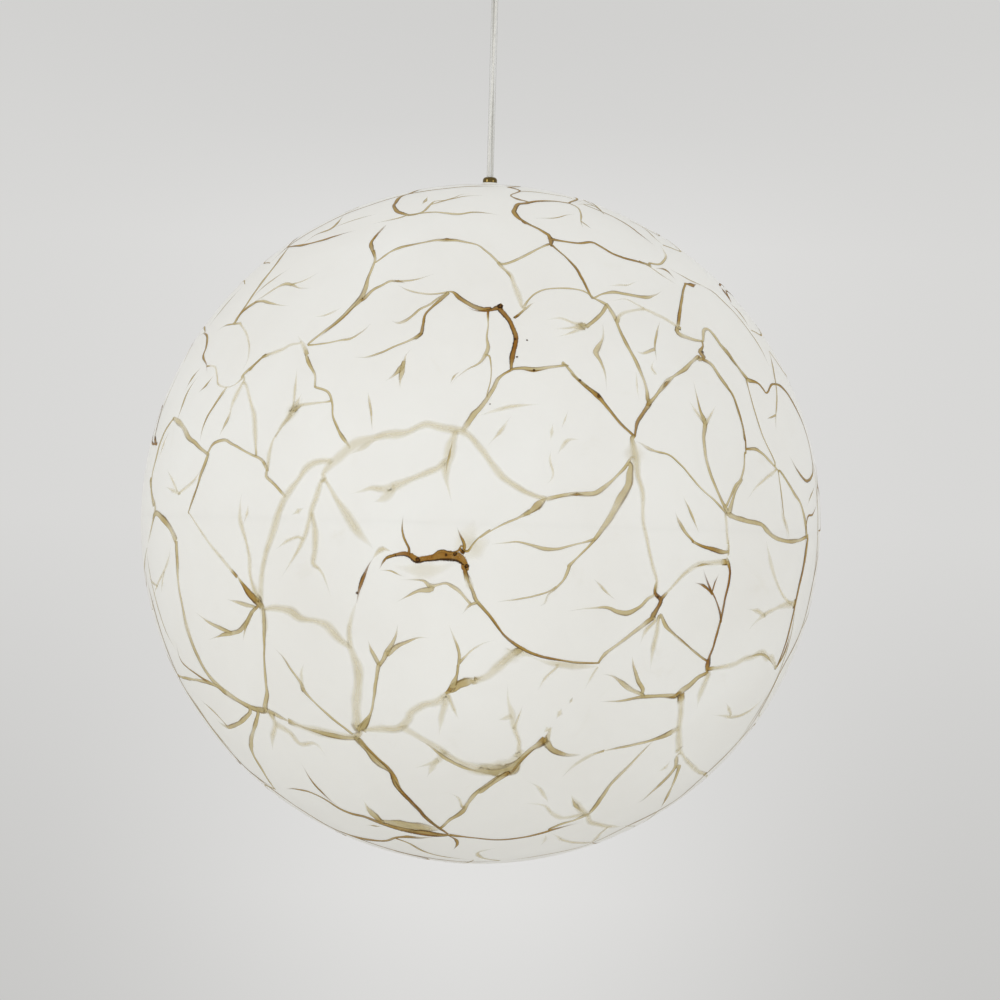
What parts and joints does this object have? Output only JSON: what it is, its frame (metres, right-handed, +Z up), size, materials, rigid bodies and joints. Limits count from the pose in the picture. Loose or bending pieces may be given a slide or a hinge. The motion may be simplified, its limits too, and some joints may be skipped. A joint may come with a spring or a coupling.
{
  "type": "globe pendant light",
  "caption": "Large opal globe pendant with painted stone veining, hung on a clear flexible cable from a round ceiling canopy, with a screw-in lamp and a relamping lid.",
  "frame": {"origin": "middle of the ceiling bracket's top face, which meets the ceiling", "axes": "+Z up, out of the ceiling face; +X along the ceiling bracket; -Y towards the viewer of the picture"},
  "size_m": [0.5999, 0.6, 0.835],
  "materials": {
    "opal_acrylic": "satin opal acrylic with painted stone veining",
    "polished_nickel": "polished nickel",
    "zinc_steel": "zinc plated steel",
    "white_enamel": "white stove enamel",
    "brass": "plain brass",
    "clear_cable": "clear sheath over two cores",
    "white_nylon": "white nylon",
    "block_plastic": "moulded plastic",
    "holder_plastic": "moulded thermoset",
    "grey_rubber": "soft rubber",
    "core_insulation": "wire insulation",
    "lamp_opal": "opal glass",
    "lamp_plastic": "white plastic",
    "black_insulator": "black vitrite",
    "aluminium": "bare aluminium",
    "spring_steel": "spring steel"
  },
  "bodies": {
    "ceiling": {"ceiling_bracket": "zinc_steel", "canopy": "white_enamel", "canopy_screws": "polished_nickel", "terminal_block": "block_plastic", "terminal_screws": "brass", "terminal_leads": "core_insulation", "cable_gland": "polished_nickel", "gland_nut": "zinc_steel"},
    "swivel": {"swivel_ball": "white_nylon"},
    "drop": {"flex_cable": "clear_cable", "cable_clamp": "zinc_steel", "clamp_screw": "zinc_steel"},
    "globe": {"cord_grip": "polished_nickel", "grip_screw": "polished_nickel", "top_washer": "white_nylon", "upper_hemisphere": "opal_acrylic", "lower_hemisphere": "opal_acrylic", "threaded_stem": "zinc_steel", "rubber_pad": "grey_rubber", "support_plate": "zinc_steel", "lock_nut": "brass", "holder_cap": "holder_plastic", "holder_body": "holder_plastic", "holder_insert": "holder_plastic", "centre_contact": "brass", "socket_sleeve": "brass", "lamp_leads": "core_insulation"},
    "lamp_slide": {"lamp_tip": "brass"},
    "lamp": {"lamp_insulator": "black_insulator", "lamp_screw_shell": "polished_nickel", "lamp_collar": "lamp_plastic", "lamp_globe": "lamp_opal", "heat_pillar": "aluminium", "led_plate": "aluminium"},
    "lid_body": {"lid": "opal_acrylic", "lid_ring": "opal_acrylic", "lid_clips": "spring_steel", "clip_screws": "zinc_steel"}
  },
  "joints": [
    {"name": "swing_x", "type": "hinge", "parent": "ceiling", "child": "swivel", "pos_m": [0, 0, -0.034], "axis": [1, 0, 0], "range_deg": [-15, 15]},
    {"name": "swing_y", "type": "hinge", "parent": "swivel", "child": "drop", "pos_m": [0, 0, -0.034], "axis": [0, 1, 0], "range_deg": [-15, 15]},
    {"name": "globe_twist", "type": "hinge", "parent": "drop", "child": "globe", "pos_m": [0, 0, -0.232], "axis": [0, 0, 1], "range_deg": [-90, 90]},
    {"name": "lamp_lower", "type": "slide", "parent": "globe", "child": "lamp_slide", "axis": [0, 0, -1], "range_m": [0, 0.022]},
    {"name": "lamp_unscrew", "type": "hinge", "parent": "lamp_slide", "child": "lamp", "pos_m": [0, 0, -0.45], "axis": [0, 0, -1], "range_deg": [0, 2160]},
    {"name": "lid_drop", "type": "slide", "parent": "globe", "child": "lid_body", "axis": [0, 0, -1], "range_m": [0, 0.12]}
  ],
  "couplings": [
    {"joint": "lamp_lower", "follows": "lamp_unscrew", "m_per_rad": 0.0005776}
  ]
}
